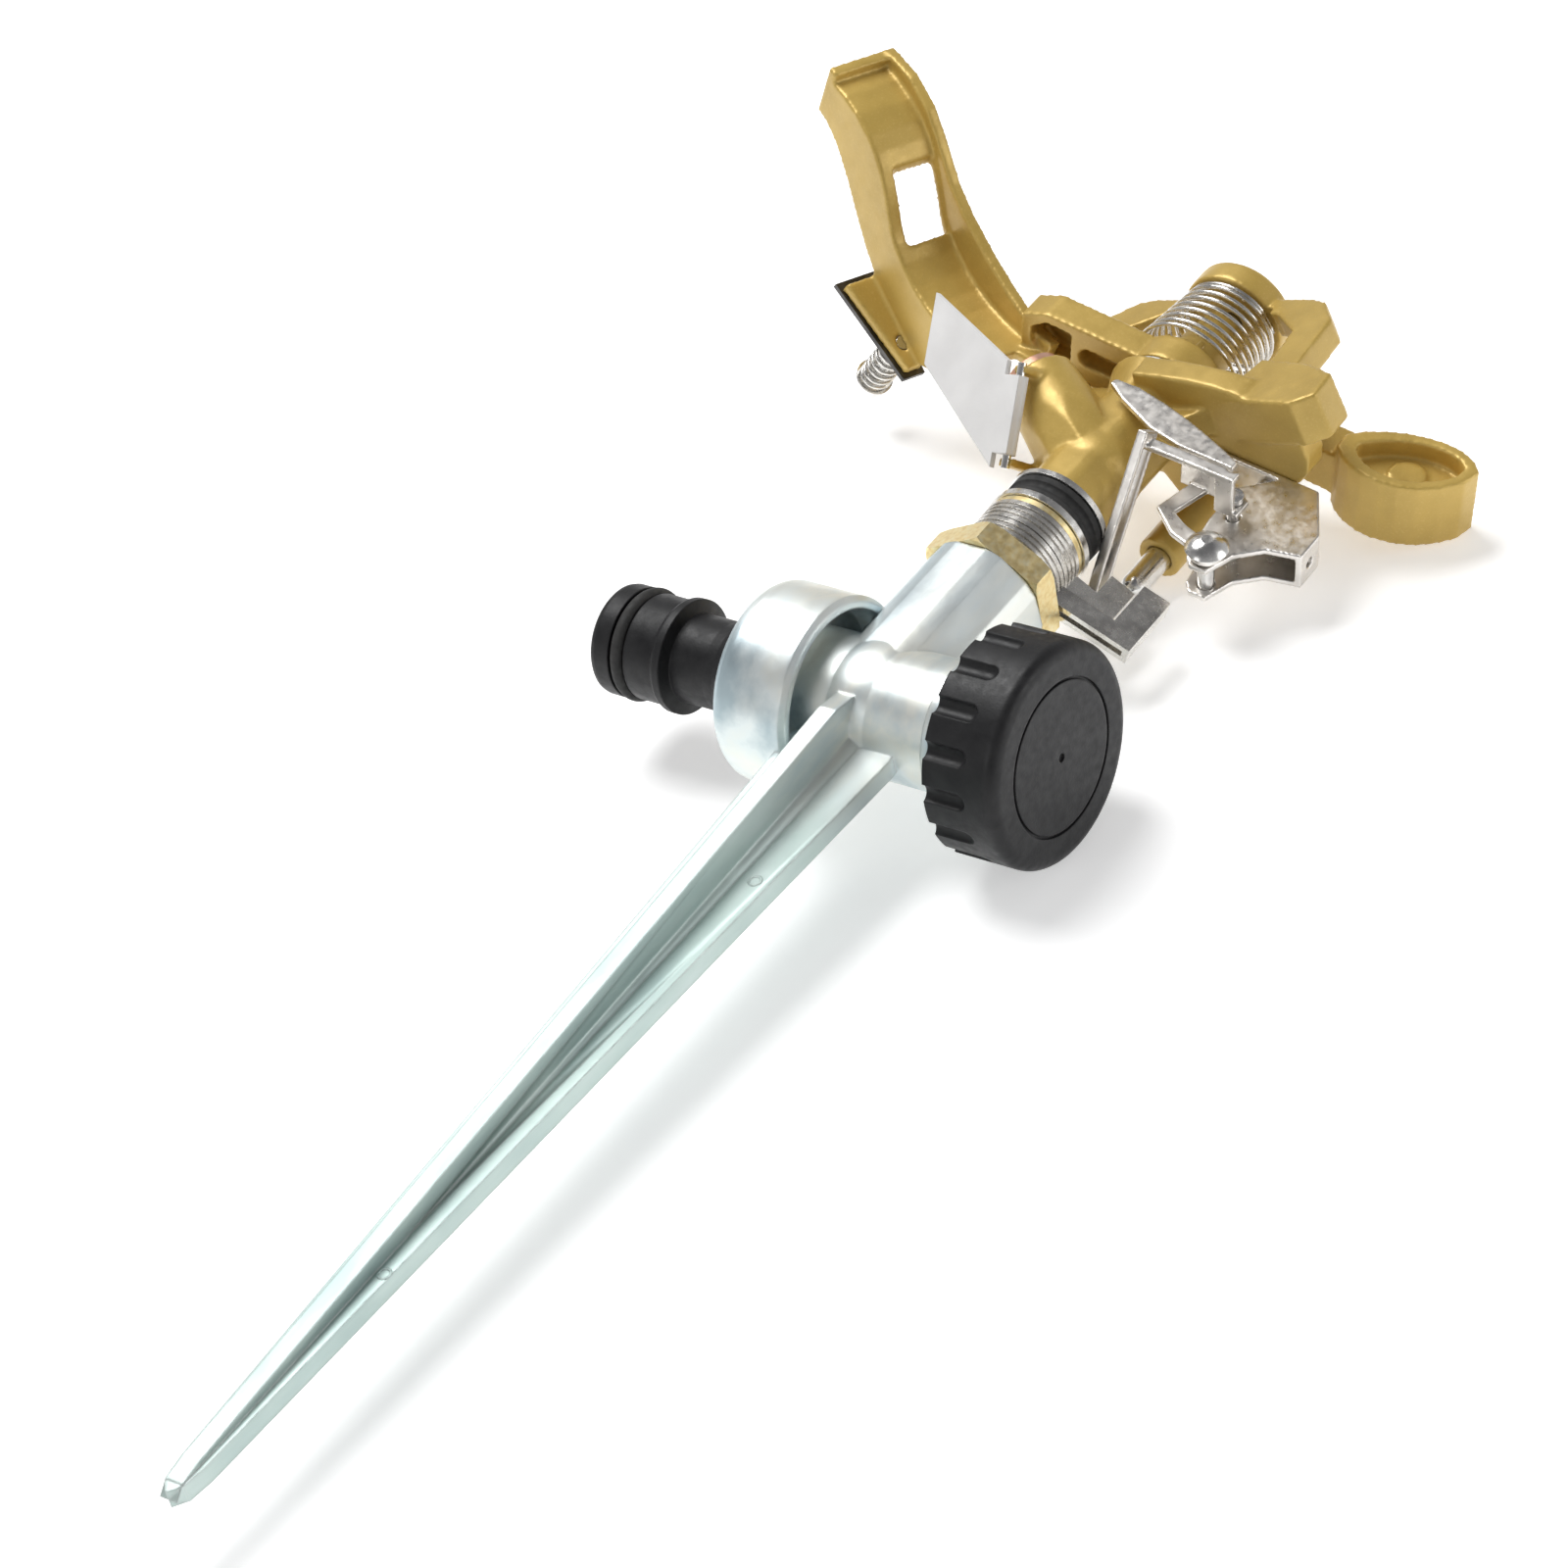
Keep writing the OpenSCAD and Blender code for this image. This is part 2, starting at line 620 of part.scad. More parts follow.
module ledge_plate() {
    color(dark) at_spoon() translate([ledge_start[0], ledge_start[1], 0]) rotate([0, 0, ledge_angle])
        difference() {
            translate([0, ledge_t + fit_gap + sheet, 0]) rotate([90, 0, 0]) linear_extrude(sheet)
                polygon([[-1.2, 1.6], [-1.2, -5.8], [ledge_length + 0.8, -2.4], [ledge_length + 0.8, 1.6]]);
            translate([ledge_screw_x, 5, ledge_screw_w]) rotate([90, 0, 0])
                cylinder(r = ledge_screw_r + free_gap, h = 5);
        }
}

module ledge_screw() {
    color(steel) at_ledge_screw() {
        translate([0, 0, 0.2]) cylinder(r = ledge_screw_r, h = 14.6);
        difference() {
            translate([0, 0, 14.7]) cylinder(r = 2.9, h = 1.4);
            translate([-4, -0.4, 15.6]) cube([8, 0.8, 2]);
        }
    }
}

module ledge_washer() {
    color(bright) at_ledge_screw() translate([0, 0, 13.9]) ring(3.1, ledge_screw_r + fit_gap, 0.7);
}

module ledge_spring() {
    color(steel) at_ledge_screw() translate([0, 0, ledge_t + 0.1 + sheet]) coil(2.4, 2.4, 0.8, 10.6, 7, 6, 16);
}

// Turns plate drawings into the plane of the flap. X runs along the hinge and Y out from it.
module at_flap() {
    hinge = flap_corners[1] - flap_corners[2];
    out = flap_corners[3] - flap_corners[2];
    x = hinge / norm(hinge);
    z = cross(x, out) / norm(cross(x, out));
    y = cross(z, x);
    up(flap_corners[2][2]) translate([flap_corners[2][0], flap_corners[2][1], 0])
        multmatrix([[x[0], y[0], z[0], 0], [x[1], y[1], z[1], 0], [x[2], y[2], z[2], 0]])
            translate([0, 0, flap_lift]) children();
}

module deflector_flap() {
    color(pale) at_flap() difference() {
        union() {
            translate([0, 0, 0.6]) linear_extrude(1)
                polygon([[0, 1.7], [2.2, 1.7], [2.2, -1.2], [flap_hinge - 2.2, -1.2], [flap_hinge - 2.2, 1.7],
                         [flap_hinge, 1.7], [flap_hinge + 9.9, 18.8], [15.2, 18.8]]);
            translate([2.2, 0, 0]) rotate([0, 90, 0]) cylinder(r = 1.3, h = flap_hinge - 4.4);
            translate([2.2, -1.2, 0]) cube([flap_hinge - 4.4, 2.4, 1]);
        }
        rotate([0, 90, 0]) cylinder(r = flap_pin_r + fit_gap, h = 60, center = true);
    }
}

module flap_ears() {
    at_flap() for (x = [0.4, flap_hinge - 1.8]) translate([x, -1.1, -9.4]) cube([1.4, 2.4, 9.8]);
}

module flap_pin_hole() {
    at_flap() rotate([0, 90, 0]) cylinder(r = flap_pin_r + fit_gap, h = 60, center = true);
}

module flap_pin() {
    color(steel) at_flap() translate([0.1, 0, 0]) rotate([0, 90, 0])
        cylinder(r = flap_pin_r, h = flap_hinge - 0.2);
}

module bracket_rivet_holes() {
    for (x = rivet_places) rotate([0, 0, trip_angle]) translate([x, mid_v, inlet_z + 66])
        cylinder(r = rivet_r + fit_gap, h = 12);
}

module bracket_rivets() {
    color(steel) for (x = rivet_places) rotate([0, 0, trip_angle]) translate([x, mid_v, inlet_z + 69.9]) {
        cylinder(r = rivet_r, h = 6.6);
        cylinder(r = rivet_r + 1, h = 0.95);
    }
}

// Puts a drawing in the trip mechanism's plane: X runs out along the bracket and Y up
module trip_plane(v, thickness) {
    rotate([0, 0, trip_angle]) translate([0, v + thickness, inlet_z]) rotate([90, 0, 0])
        linear_extrude(thickness) children();
}

// Puts a shape that is drawn up the Z axis across the bracket, with its base at v
module trip_axis(u, z, v) {
    rotate([0, 0, trip_angle]) translate([u, v, inlet_z + z]) rotate([-90, 0, 0]) children();
}

// The outline of a strip that follows a path at a given width
function strip_side(path, half) = [for (i = [0 : len(path) - 1])
    let (a = path[max(i - 1, 0)], b = path[min(i + 1, len(path) - 1)], d = (b - a) / norm(b - a))
        path[i] + half * [-d[1], d[0]]];
module strip(path, width) {
    polygon(concat(strip_side(path, width / 2), reversed(strip_side(path, -width / 2))));
}

// The folded sheet box that carries both pins: two side plates, an end plate and a flange under the shelf
module trip_bracket() {
    side = [[20.4, 66], [20.4, 58], [21.6, 49.6], [23, 48], [25.8, 48.2], [27.6, 53.4], [31, 56.8],
            [36.4, 58.4], [36.4, 63.6], [31.4, 71.9], [26, 71.9]];
    depth = far_v - plate_v;
    color(sheet_steel) difference() {
        union() {
            for (v = [plate_v, far_v - sheet]) trip_plane(v, sheet) polygon(side);
            trip_plane(plate_v, depth)
                polygon([[35.4, 58.1], [36.4, 58.4], [36.4, 63.6], [31.4, 71.9], [30.2, 71.9], [35.4, 63.3]]);
            trip_plane(plate_v, depth) polygon([[10, 71.9], [31.4, 71.9], [32, 70.9], [10, 70.9]]);
        }
        trip_axis(trip_pin_u, trip_pin_z, -20) cylinder(r = trip_pin_r + fit_gap, h = 40);
        trip_axis(tail_pin_u, tail_pin_z, -20) cylinder(r = tail_pin_r + fit_gap, h = 40);
        rotate([0, 0, trip_angle]) translate([30, mid_v, inlet_z + 61]) rotate([0, 90, 0])
            cylinder(r = 0.9, h = 9);
        bracket_rivet_holes();
    }
}

module trip_pin() {
    color(steel) trip_axis(trip_pin_u, trip_pin_z, lever_v - 2.2) {
        translate([0, 0, 1.2]) cylinder(r = trip_pin_r, h = far_v - lever_v + 1.4);
        intersection() {
            cylinder(r = 3.4, h = 1.7);
            translate([0, 0, 4.2]) sphere(r = 4.3);
        }
    }
}

module tail_pin() {
    color(steel) trip_axis(tail_pin_u, tail_pin_z, lever_v - 3.1) {
        translate([0, 0, 0.9]) cylinder(r = tail_pin_r, h = far_v - lever_v + 2.6);
        cylinder(r = tail_pin_r + 0.6, h = 1);
    }
}

// The lever that the arm strikes on the return stroke: a leaf-shaped finger and the strap that carries it
module trip_lever() {
    color(steel) difference() {
        union() {
            trip_plane(finger_v, sheet) polygon(concat([[-3.4, 68.2], [-3, 69.3], [1, 69.5]],
                cubic_path([1, 69.5], [10, 68.4], [18, 65], [22, 63.4], 5),
                [[22, 61.8], [12.6, 61.8], [6.8, 62.9], [0, 66]]));
            trip_plane(finger_v, lever_v - finger_v + sheet)
                polygon([[13, 61.8], [20, 61.8], [20, 62.9], [13, 62.9]]);
            trip_plane(lever_v, sheet)
                strip([[16.5, 62.4], [14.6, 55], [18.4, 52.4], [trip_pin_u, trip_pin_z]], 2.8);
            trip_axis(trip_pin_u, trip_pin_z, lever_v) cylinder(r = trip_pin_r + 1.4, h = sheet);
        }
        trip_axis(trip_pin_u, trip_pin_z, -20) cylinder(r = trip_pin_r + fit_gap, h = 40);
    }
}

// The tail that the stop collars' ears catch: a bar along the bracket, then a leg that ends beside the collars
module trip_tail() {
    corner = [11.2, -9.4, 58.5];
    foot = [7.6, 11.3, 41.4];
    leg = foot - corner;
    reach = norm(leg);
    bar_v = -11.9;
    ear_v = lever_v - 2;
    color(steel) difference() {
        union() {
            trip_plane(bar_v, sheet) strip([[24.6, 58.6], [14, 58.4], [8.6, 58.2]], 2);
            trip_plane(bar_v, ear_v - bar_v + sheet)
                polygon([[21.4, 58.4], [24.6, 58.5], [24.6, 57.6], [21.4, 57.6]]);
            trip_plane(ear_v, sheet)
                polygon([[21.4, 57.6], [25.4, 57.6], [25.4, 61.2], [23.3, 62.2], [21.4, 61.2]]);
            translate([corner[0], corner[1], inlet_z + corner[2]])
                rotate([0, acos(leg[2] / reach), atan2(leg[1], leg[0])]) {
                for (side = [-2, 1.2]) translate([side, -0.8, -0.6]) cube([0.8, 1.6, reach + 0.8]);
                translate([-2, -0.8, reach - 0.6]) cube([4, 1.6, 1.2]);
                translate([-2, -0.8, -1.4]) cube([4, 1.6, 1.6]);
            }
            rotate([0, 0, 57]) translate([12.6, -0.6, inlet_z + 40.8]) cube([6.6, 1.2, 1.4]);
        }
        trip_axis(tail_pin_u, tail_pin_z, -20) cylinder(r = tail_pin_r + fit_gap, h = 40);
    }
}

module stop_pin() {
    color(steel) rotate([0, 0, stop_pin_angle]) translate([stop_pin_r, 0, inlet_z + 51]) {
        cylinder(d = stop_pin_d, h = 16.9);
        sphere(d = stop_pin_d);
    }
}

spike_casting();
inlet_nipple();
nipple_o_ring();
inlet_gasket();
outlet_cap();
cap_gasket();
hex_nut();
stem_seal();
stem_washer();
swivel_stem();
stop_collar_a();
stop_collar_b();
brass_washer();
spring_washer();
sand_seal();
stem_spring();
steel_washer();
head_casting();
nozzle_insert();
nozzle_gasket();
fulcrum_pin();
thrust_washer();
pin_cap();
impact_arm();
arm_bush();
arm_spring();
ledge_plate();
ledge_screw();
ledge_spring();
ledge_washer();
deflector_flap();
flap_pin();
trip_bracket();
bracket_rivets();
trip_lever();
trip_pin();
trip_tail();
tail_pin();
stop_pin();
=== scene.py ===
import json
import math

import bpy
from mathutils import Matrix, Vector


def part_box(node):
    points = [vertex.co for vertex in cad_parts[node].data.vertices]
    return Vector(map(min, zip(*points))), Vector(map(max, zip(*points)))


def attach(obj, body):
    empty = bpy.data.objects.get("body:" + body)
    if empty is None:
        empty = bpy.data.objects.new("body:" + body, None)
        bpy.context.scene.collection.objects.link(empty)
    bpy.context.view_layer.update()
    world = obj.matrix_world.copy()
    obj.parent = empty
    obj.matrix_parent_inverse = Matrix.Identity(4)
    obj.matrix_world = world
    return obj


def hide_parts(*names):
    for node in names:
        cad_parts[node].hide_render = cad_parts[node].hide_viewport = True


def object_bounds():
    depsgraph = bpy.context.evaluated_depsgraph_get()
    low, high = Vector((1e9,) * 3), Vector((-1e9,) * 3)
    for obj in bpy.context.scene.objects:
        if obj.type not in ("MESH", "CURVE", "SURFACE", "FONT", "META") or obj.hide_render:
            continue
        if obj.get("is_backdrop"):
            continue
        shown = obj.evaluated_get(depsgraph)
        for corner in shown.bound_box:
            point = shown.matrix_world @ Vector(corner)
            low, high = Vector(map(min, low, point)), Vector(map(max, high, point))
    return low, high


MM = 0.001

# Where the camera stands and how it is turned, for a view from below the soil line past the cap
CAMERA_PLACE = Vector((0.46344, -0.52345, -0.46380))
CAMERA_RIGHT = Vector((0.79906, 0.21684, 0.56078))
CAMERA_UP = Vector((-0.22912, -0.75251, 0.61744))
CAMERA_BACK = Vector((0.55588, -0.62186, -0.55162))
LENS_MM = 133.25
SENSOR_MM = 36

# The sprinkler lies on a white sheet that touches the cap and the arm's counterweight
SHEET_SIZE = 6.0
SHEET_TILT = math.radians(1.9)

# How far the shading rounds an edge, on thick pieces and on fine ones
EDGE_SOFTNESS = 0.25 * MM
FINE_EDGE = 0.1 * MM
# How finely the skin of each cast or pressed piece is rebuilt, and how often it is smoothed
SOFT_SKINS = {
    "head_casting": (0.36 * MM, 5),
    "impact_arm": (0.36 * MM, 4),
    "trip_bracket": (0.2 * MM, 3),
    "trip_lever": (0.16 * MM, 5),
    "trip_tail": (0.16 * MM, 5),
}

# Springs that are remade as round wire: wire, turns and the steps in one turn
ARM_WIRE = 0.7 * MM
ARM_TURNS = 9
ARM_TAPER = 1.4 * MM
PLATE_WIRE = 0.65 * MM
PLATE_TURNS = 6.5
PLATE_SPRING_RADIUS = 2.4 * MM
PLATE_SPRING_SPAN = (3.12 * MM, 13.8 * MM)
TURN_STEPS = 40

# Marks of the mould's pins on the spike's fin: the fin's half thickness, and each mark's place as (x, z)
FIN_HALF = 1.5 * MM
MARK_PLACES = ((5.2 * MM, -20 * MM), (2.9 * MM, -105 * MM))


# ---- materials ----

class Look:
    """A material under construction: its node tree and its main shader."""

    def __init__(self, name, roughness, metallic):
        self.material = bpy.data.materials.new(name)
        self.material.use_nodes = True
        self.tree = self.material.node_tree
        self.shader = self.tree.nodes["Principled BSDF"]
        self.shader.inputs["Roughness"].default_value = roughness
        self.shader.inputs["Metallic"].default_value = metallic
        self.place = self.tree.nodes.new("ShaderNodeTexCoord").outputs["Object"]

    def link(self, source, target):
        self.tree.links.new(source, target)

    def noise(self, scale, detail=3.0, stretch=(1, 1, 1)):
        """A noise value. scale is in features per metre. stretch makes them longer where it is small."""
        mapping = self.tree.nodes.new("ShaderNodeMapping")
        mapping.inputs["Scale"].default_value = stretch
        self.link(self.place, mapping.inputs["Vector"])
        noise = self.tree.nodes.new("ShaderNodeTexNoise")
        noise.inputs["Scale"].default_value = scale
        noise.inputs["Detail"].default_value = detail
        self.link(mapping.outputs["Vector"], noise.inputs["Vector"])
        return noise.outputs["Fac"]

    def height(self, low, high):
        """0 below the height low, 1 above the height high, in metres up the row frame."""
        split = self.tree.nodes.new("ShaderNodeSeparateXYZ")
        self.link(self.place, split.inputs["Vector"])
        return self.spread(split.outputs["Z"], low, high, 0, 1)

    def spread(self, value, low, high, out_low, out_high):
        node = self.tree.nodes.new("ShaderNodeMapRange")
        node.inputs["From Min"].default_value = low
        node.inputs["From Max"].default_value = high
        node.inputs["To Min"].default_value = out_low
        node.inputs["To Max"].default_value = out_high
        self.link(value, node.inputs["Value"])
        return node.outputs["Result"]

    def edges(self, radius):
        """1 on the outer edges, where the colour is lightened both for wear and as a painted highlight, and 0 on
        the flats.
        """
        bevel = self.tree.nodes.new("ShaderNodeBevel")
        bevel.inputs["Radius"].default_value = radius
        geometry = self.tree.nodes.new("ShaderNodeNewGeometry")
        dot = self.tree.nodes.new("ShaderNodeVectorMath")
        dot.operation = "DOT_PRODUCT"
        self.link(bevel.outputs["Normal"], dot.inputs[0])
        self.link(geometry.outputs["Normal"], dot.inputs[1])
        return self.spread(dot.outputs["Value"], 0.98, 0.8, 0, 1)

    def ramp(self, value, stops):
        """A colour that follows value through stops of (position, colour)."""
        ramp = self.tree.nodes.new("ShaderNodeValToRGB")
        while len(ramp.color_ramp.elements) < len(stops):
            ramp.color_ramp.elements.new(0.5)
        for element, (position, colour) in zip(ramp.color_ramp.elements, stops):
            element.position = position
            element.color = (*colour, 1)
        self.link(value, ramp.inputs["Fac"])
        return ramp.outputs["Color"]

    def mix(self, value, first, second):
        """The colour first where value is 0, and second where it is 1."""
        node = self.tree.nodes.new("ShaderNodeMix")
        node.data_type = "RGBA"
        self.link(value, node.inputs["Factor"])
        for source, socket in ((first, node.inputs[6]), (second, node.inputs[7])):
            if isinstance(source, tuple):
                socket.default_value = (*source, 1)
            else:
                self.link(source, socket)
        return node.outputs[2]

    def between(self, value, first, second):
        """The number first where value is 0, and second where it is 1."""
        node = self.tree.nodes.new("ShaderNodeMix")
        self.link(value, node.inputs["Factor"])
        self.link(first, node.inputs[2])
        self.link(second, node.inputs[3])
        return node.outputs[0]

    def colour(self, source):
        self.link(source, self.shader.inputs["Base Color"])

    def roughness(self, value, low, high):
        self.link(self.spread(value, 0.3, 0.7, low, high), self.shader.inputs["Roughness"])

    def bump(self, value, depth, soft_edge=EDGE_SOFTNESS):
        """Raises the surface by value times depth, on edges that are rounded by soft_edge."""
        bump = self.tree.nodes.new("ShaderNodeBump")
        bump.inputs["Distance"].default_value = depth
        self.link(value, bump.inputs["Height"])
        if soft_edge:
            bevel = self.tree.nodes.new("ShaderNodeBevel")
            bevel.inputs["Radius"].default_value = soft_edge
            self.link(bevel.outputs["Normal"], bump.inputs["Normal"])
        self.link(bump.outputs["Normal"], self.shader.inputs["Normal"])


def gold_paint():
    look = Look("gold_paint", 0.42, 0.3)
    blotches = look.noise(90, 4)
    speckle = look.noise(2600, 2)
    paint = look.ramp(blotches, [(0.3, (0.47, 0.315, 0.070)), (0.7, (0.59, 0.405, 0.100))])
    flecked = look.mix(look.spread(speckle, 0.55, 0.75, 0, 0.3), paint, (0.68, 0.50, 0.16))
    # Lighter gold on the edges: partly wear, partly a painted highlight.
    look.colour(look.mix(look.edges(0.35 * MM), flecked, (0.64, 0.47, 0.15)))
    look.roughness(look.noise(500, 3), 0.34, 0.48)
    look.shader.inputs["Coat Weight"].default_value = 0.15
    look.shader.inputs["Coat Roughness"].default_value = 0.3
    look.bump(look.noise(900, 3), 0.035 * MM)
    return look.material


def zinc_plate():
    look = Look("zinc_plate", 0.3, 0.8)
    streaks = look.noise(75, 6, (1, 1, 0.3))
    up = look.height(-10 * MM, 8 * MM)
    pale = look.ramp(streaks, [(0.25, (0.36, 0.47, 0.46)), (0.5, (0.52, 0.62, 0.59)),
                               (0.62, (0.60, 0.68, 0.66)), (0.75, (0.44, 0.55, 0.56))])
    tinted = look.ramp(streaks, [(0.34, (0.46, 0.56, 0.60)), (0.46, (0.78, 0.84, 0.84)),
                                 (0.58, (0.84, 0.85, 0.79)), (0.7, (0.58, 0.68, 0.72))])
    # Lighter zinc on the edges: partly wear, partly a painted highlight.
    look.colour(look.mix(look.edges(0.4 * MM), look.mix(up, pale, tinted), (0.70, 0.74, 0.73)))
    clouds = look.noise(220, 4, (1, 1, 0.3))
    satin = look.spread(clouds, 0.3, 0.7, 0.42, 0.58)
    bright = look.spread(clouds, 0.3, 0.7, 0.30, 0.48)
    look.link(look.between(up, satin, bright), look.shader.inputs["Roughness"])
    look.bump(look.noise(420, 4), 0.03 * MM, 0.6 * MM)
    return look.material


def black_plastic():
    look = Look("black_plastic", 0.4, 0)
    look.colour(look.ramp(look.noise(300, 3), [(0.3, (0.006, 0.006, 0.007)), (0.7, (0.014, 0.014, 0.015))]))
    look.roughness(look.noise(700, 3), 0.38, 0.54)
    look.shader.inputs["Specular IOR Level"].default_value = 0.32
    look.bump(look.noise(2500, 2), 0.02 * MM, 0.4 * MM)
    return look.material


def black_rubber():
    look = Look("black_rubber", 0.7, 0)
    look.colour(look.ramp(look.noise(600, 3), [(0.3, (0.012, 0.012, 0.012)), (0.7, (0.028, 0.027, 0.026))]))
    look.roughness(look.noise(900, 2), 0.6, 0.8)
    look.bump(look.noise(1500, 3), 0.03 * MM)
    return look.material


def brass():
    look = Look("brass", 0.3, 1)
    speckle = look.noise(1100, 4)
    look.colour(look.ramp(speckle, [(0.3, (0.86, 0.67, 0.31)), (0.5, (0.98, 0.80, 0.42)),
                                    (0.7, (1.0, 0.89, 0.58))]))
    look.roughness(look.noise(800, 3), 0.30, 0.46)
    look.bump(look.noise(1400, 3), 0.003 * MM, FINE_EDGE)
    return look.material


def steel(name, dark, light, rough_low, rough_high, stretch=(1, 1, 1)):
    """Worn or polished steel whose colour and roughness vary between the values given."""
    look = Look(name, rough_low, 1)
    look.colour(look.ramp(look.noise(250, 3, stretch), [(0.25, dark), (0.6, light)]))
    look.roughness(look.noise(900, 3, stretch), rough_low, rough_high)
    look.bump(look.noise(1500, 2, stretch), 0.001 * MM, FINE_EDGE)
    return look.material


def white_plastic():
    look = Look("white_plastic", 0.45, 0)
    look.colour(look.ramp(look.noise(300, 3), [(0.3, (0.70, 0.70, 0.67)), (0.7, (0.80, 0.80, 0.77))]))
    look.roughness(look.noise(600, 3), 0.38, 0.52)
    look.bump(look.noise(1500, 2), 0.015 * MM)
    return look.material


def pale_paint():
    look = Look("pale_paint", 0.5, 0)
    look.colour(look.ramp(look.noise(160, 4), [(0.3, (0.70, 0.69, 0.68)), (0.7, (0.78, 0.77, 0.76))]))
    look.roughness(look.noise(500, 3), 0.42, 0.58)
    look.bump(look.noise(1600, 3), 0.015 * MM)
    return look.material


def copper_plate():
    look = Look("copper_plate", 0.35, 0.8)
    look.colour(look.ramp(look.noise(500, 3), [(0.3, (0.62, 0.33, 0.22)), (0.7, (0.78, 0.47, 0.35))]))
    look.roughness(look.noise(700, 3), 0.28, 0.42)
    look.bump(look.noise(1500, 2), 0.02 * MM)
    return look.material


def make_looks():
    """One finished material for each material slot of the record."""
    return {
        "gold_paint": gold_paint(),
        "zinc_plate": zinc_plate(),
        "black_plastic": black_plastic(),
        "black_rubber": black_rubber(),
        "brass": brass(),
        "spring_steel": steel("spring_steel", (0.52, 0.50, 0.47), (0.80, 0.78, 0.74), 0.18, 0.32),
        "bright_steel": steel("bright_steel", (0.60, 0.59, 0.57), (0.82, 0.81, 0.79), 0.14, 0.3),
        "dark_steel": steel("dark_steel", (0.05, 0.05, 0.05), (0.12, 0.115, 0.11), 0.3, 0.5),
        "sheet_steel": steel("sheet_steel", (0.62, 0.59, 0.55), (0.84, 0.81, 0.77), 0.26, 0.42),
        "white_plastic": white_plastic(),
        "copper_plate": copper_plate(),
        "pale_paint": pale_paint(),
    }


def dress(piece, look):
    piece.data.materials.clear()
    piece.data.materials.append(look)


def dress_frame(looks):
    """Gives every CAD node the finished material of its slot."""
    for part in frame["record"]["subparts"]:
        dress(frame["nodes"][part["node"]], looks[part["material_slot"]])


# ---- shapes ----

def make_piece(name, vertices, faces, body, slot, looks):
    """A smooth mesh piece that rides on a body and takes its finish from a slot."""
    mesh = bpy.data.meshes.new(name)
    mesh.from_pydata(vertices, [], faces)
    for polygon in mesh.polygons:
        polygon.use_smooth = True
    piece = bpy.data.objects.new(name, mesh)
    bpy.context.scene.collection.objects.link(piece)
    dress(piece, looks[slot])
    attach(piece, body)
    return piece


def tube_mesh(path, radius, sides):
    """Vertices and faces of a round tube along a path, with flat ends."""
    vertices = []
    count = len(path)
    normal = (path[1] - path[0]).orthogonal().normalized()
    for i, point in enumerate(path):
        ahead = path[min(i + 1, count - 1)]
        behind = path[max(i - 1, 0)]
        along = (ahead - behind).normalized()
        normal = (normal - along * normal.dot(along)).normalized()
        across = along.cross(normal)
        for k in range(sides):
            turn = 2 * math.pi * k / sides
            vertices.append(point + radius * (math.cos(turn) * normal + math.sin(turn) * across))
    faces = []
    for i in range(count - 1):
        for k in range(sides):
            n = (k + 1) % sides
            faces.append((i * sides + k, i * sides + n, (i + 1) * sides + n, (i + 1) * sides + k))
    faces.append(tuple(reversed(range(sides))))
    faces.append(tuple((count - 1) * sides + k for k in range(sides)))
    return vertices, faces


def share_of_rise(t, turns):
    """How far up the open turns a spring's wire is. It climbs between its closed end turns. t is 0 to 1."""
    closed = 1 / turns
    return min(max((t - closed) / (1 - 2 * closed), 0), 1)


def spring_path(low_radius, high_radius, low, high, turns, wire):
    """Points along a spring's wire, from its lower closed turn at the height low to its upper one at high."""
    points = []
    total = int(turns * TURN_STEPS)
    for i in range(total + 1):
        t = i / total
        turn = 2 * math.pi * turns * t
        radius = low_radius + (high_radius - low_radius) * t
        closed_rise = wire * (min(t * turns, 1) + max(1 - (1 - t) * turns, 0))
        open_rise = (high - low - 3 * wire) * share_of_rise(t, turns)
        z = low + wire / 2 + closed_rise + open_rise
        points.append(Vector((radius * math.cos(turn), radius * math.sin(turn), z)))
    return points


def arm_spring(looks):
    """The return spring round the arm's hub, a little narrower at its top."""
    low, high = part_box("arm_spring")
    low_radius = (high.x - low.x - ARM_WIRE) / 2
    path = spring_path(low_radius, low_radius - ARM_TAPER, low.z, high.z, ARM_TURNS, ARM_WIRE)
    vertices, faces = tube_mesh(path, ARM_WIRE / 2, 14)
    spring = make_piece("arm_return_spring", vertices, faces, "head", "spring_steel", looks)
    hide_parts("arm_spring")


def screw_frame():
    """The place and direction of the small screw, as a matrix, from its joint."""
    joint = next(j for j in frame["joints"] if j["name"] == "screw_turn")
    turn = Vector(joint["axis"]).to_track_quat("Z", "Y").to_matrix().to_4x4()
    return Matrix.Translation(joint["pos_m"]) @ turn


def ledge_spring(looks):
    """The small spring under the screw's washer."""
    place = screw_frame()
    low, high = PLATE_SPRING_SPAN
    path = spring_path(PLATE_SPRING_RADIUS, PLATE_SPRING_RADIUS, low, high, PLATE_TURNS, PLATE_WIRE)
    vertices, faces = tube_mesh([place @ point for point in path], PLATE_WIRE / 2, 12)
    spring = make_piece("plate_spring", vertices, faces, "arm", "spring_steel", looks)
    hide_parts("ledge_spring")


def lathe_mesh(profile, place, segments):
    """Vertices and faces of a closed profile of (radius, height) turned round the Z axis of place."""
    vertices = []
    for k in range(segments):
        turn = 2 * math.pi * k / segments
        for radius, height in profile:
            vertices.append(place @ Vector((radius * math.cos(turn), radius * math.sin(turn), height)))
    count = len(profile)
    faces = []
    for k in range(segments):
        n = (k + 1) % segments
        for i in range(count):
            j = (i + 1) % count
            faces.append((k * count + i, n * count + i, n * count + j, k * count + j))
    return vertices, faces


